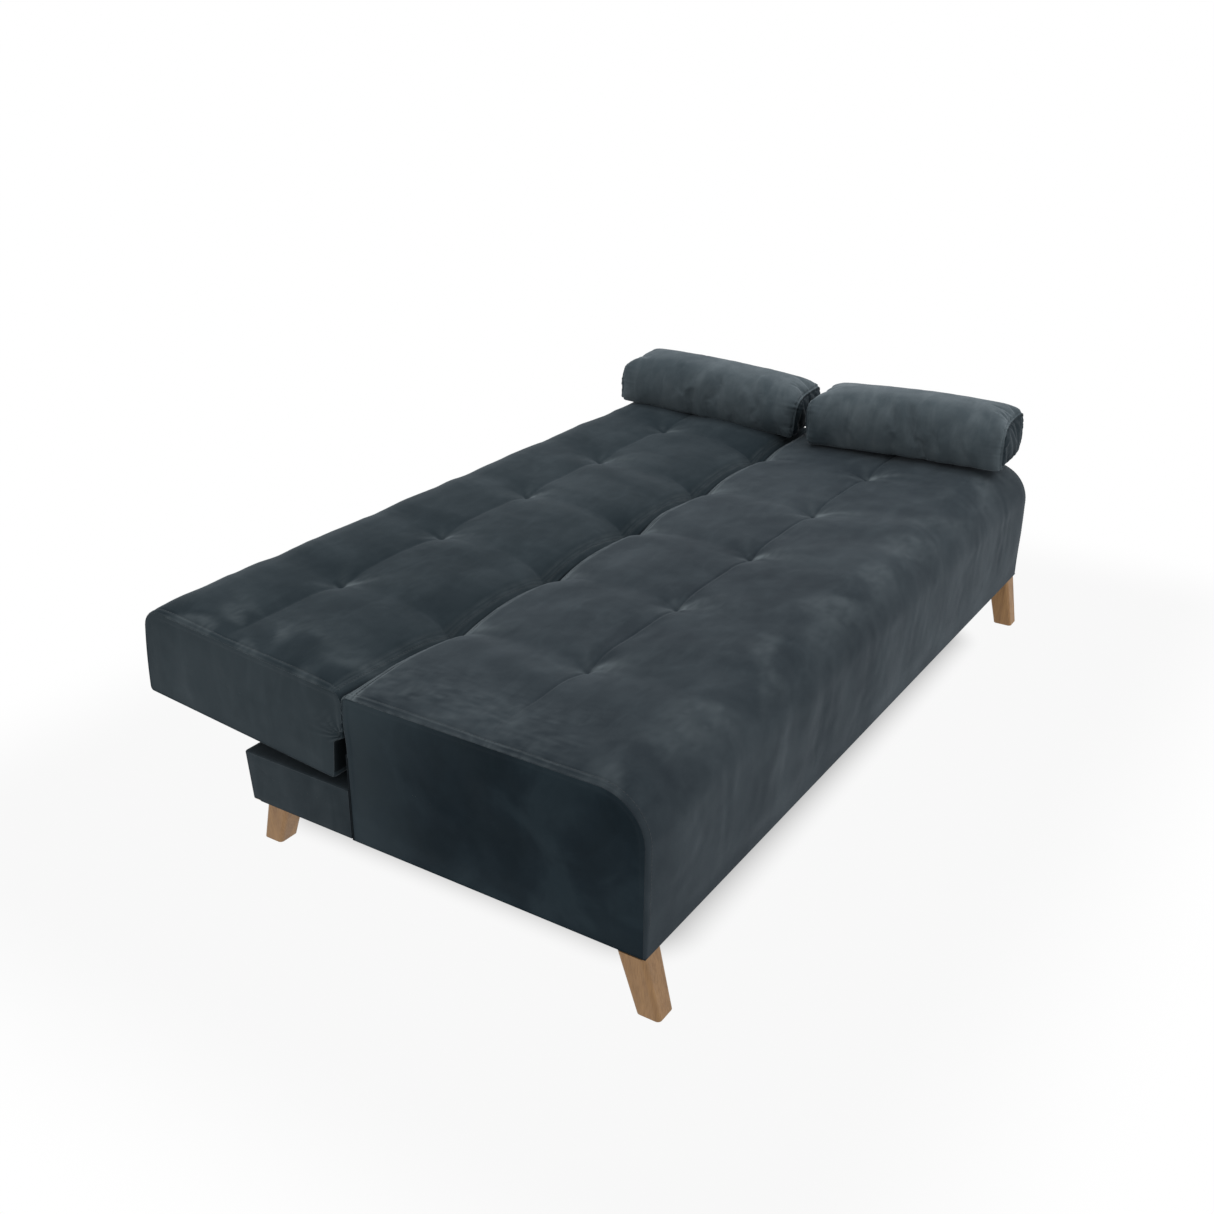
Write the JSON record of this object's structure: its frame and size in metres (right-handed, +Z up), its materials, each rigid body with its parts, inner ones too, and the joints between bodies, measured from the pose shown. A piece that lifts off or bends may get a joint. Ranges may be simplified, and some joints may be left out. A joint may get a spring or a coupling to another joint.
{
  "type": "click-clack sofa bed",
  "caption": "Upholstered click-clack sofa bed laid flat, with a lift-up storage seat, a folding back, splayed wooden legs and two loose box cushions.",
  "frame": {"origin": "on the floor, at the centre of the footprint of the sofa laid flat as a bed", "axes": "+X along the length towards the end with the cushions, +Y from the seat towards the folding back, +Z up"},
  "size_m": [1.9, 1.1448, 0.5998],
  "materials": {
    "velvet": "dark slate velvet, matt with a soft sheen",
    "cushion_velvet": "slate velvet, brushed so that it catches the light",
    "oak": "satin lacquered oak",
    "foam": "open-cell polyurethane foam",
    "webbing": "woven elastic webbing",
    "pine": "sawn pine",
    "chipboard": "raw chipboard",
    "hardboard": "smooth brown hardboard",
    "zinc_steel": "zinc-plated",
    "dark_steel": "oiled",
    "rubber": "matt",
    "felt": "pressed felt"
  },
  "bodies": {
    "base": {"floor_panel": "hardboard", "front_wall": "chipboard", "side_wall_left": "chipboard", "side_wall_right": "chipboard", "shelf_riser": "chipboard", "shelf_board": "chipboard", "shelf_end_left": "chipboard", "shelf_end_right": "chipboard", "rear_board": "chipboard", "base_cover": "velvet", "corner_blocks": "pine", "hinge_ribs": "pine", "bumpers": "rubber", "leg_front_left": "oak", "leg_front_right": "oak", "leg_rear_left": "oak", "leg_rear_right": "oak", "leg_plates": "zinc_steel", "leg_bolts": "zinc_steel", "glides": "felt", "hinge_plate_left": "zinc_steel", "hinge_plate_right": "zinc_steel", "hinge_bolts": "zinc_steel", "pawls": "dark_steel", "seat_hinge_left": "zinc_steel", "seat_hinge_right": "zinc_steel", "seat_hinge_screws": "dark_steel"},
    "seat": {"seat_front_board": "chipboard", "seat_end_board_left": "chipboard", "seat_end_board_right": "chipboard", "seat_rail_front": "pine", "seat_rail_rear": "pine", "seat_rail_left": "pine", "seat_rail_right": "pine", "seat_cross_rails": "pine", "seat_straps": "webbing", "seat_foam": "foam", "seat_front_pad": "foam", "seat_end_pads": "foam", "seat_cover": "velvet", "seat_arms": "zinc_steel", "seat_pins": "dark_steel"},
    "back": {"back_rail_nose": "pine", "back_rail_hinge": "pine", "back_rail_rear": "pine", "back_rail_left": "pine", "back_rail_right": "pine", "back_cross_rails": "pine", "back_straps": "webbing", "back_panel": "hardboard", "back_foam": "foam", "back_wadding": "foam", "back_edge_pads": "foam", "back_cover": "velvet", "back_arms": "zinc_steel", "pivot_pins": "dark_steel", "ratchet_wheels": "dark_steel"},
    "front_cushion": {"cushion_front": "cushion_velvet"},
    "rear_cushion": {"cushion_rear": "cushion_velvet"}
  },
  "joints": [
    {"name": "seat_lift", "type": "hinge", "parent": "base", "child": "seat", "pos_m": [0, 0.01556, 0.375], "axis": [-1, 0, 0], "range_deg": [0, 38]},
    {"name": "back_fold", "type": "hinge", "parent": "base", "child": "back", "pos_m": [0, 0.17106, 0.344], "axis": [1, 0, 0], "range_deg": [0, 82]},
    {"name": "front_cushion_lift", "type": "slide", "parent": "base", "child": "front_cushion", "axis": [0, 0, 1], "range_m": [0, 0.4]},
    {"name": "rear_cushion_lift", "type": "slide", "parent": "base", "child": "rear_cushion", "axis": [0, 0, 1], "range_m": [0, 0.86]}
  ],
  "couplings": [
    {"joint": "front_cushion_lift", "follows": "seat_lift", "m_per_rad": 0.6},
    {"joint": "rear_cushion_lift", "follows": "back_fold", "m_per_rad": 0.6}
  ]
}
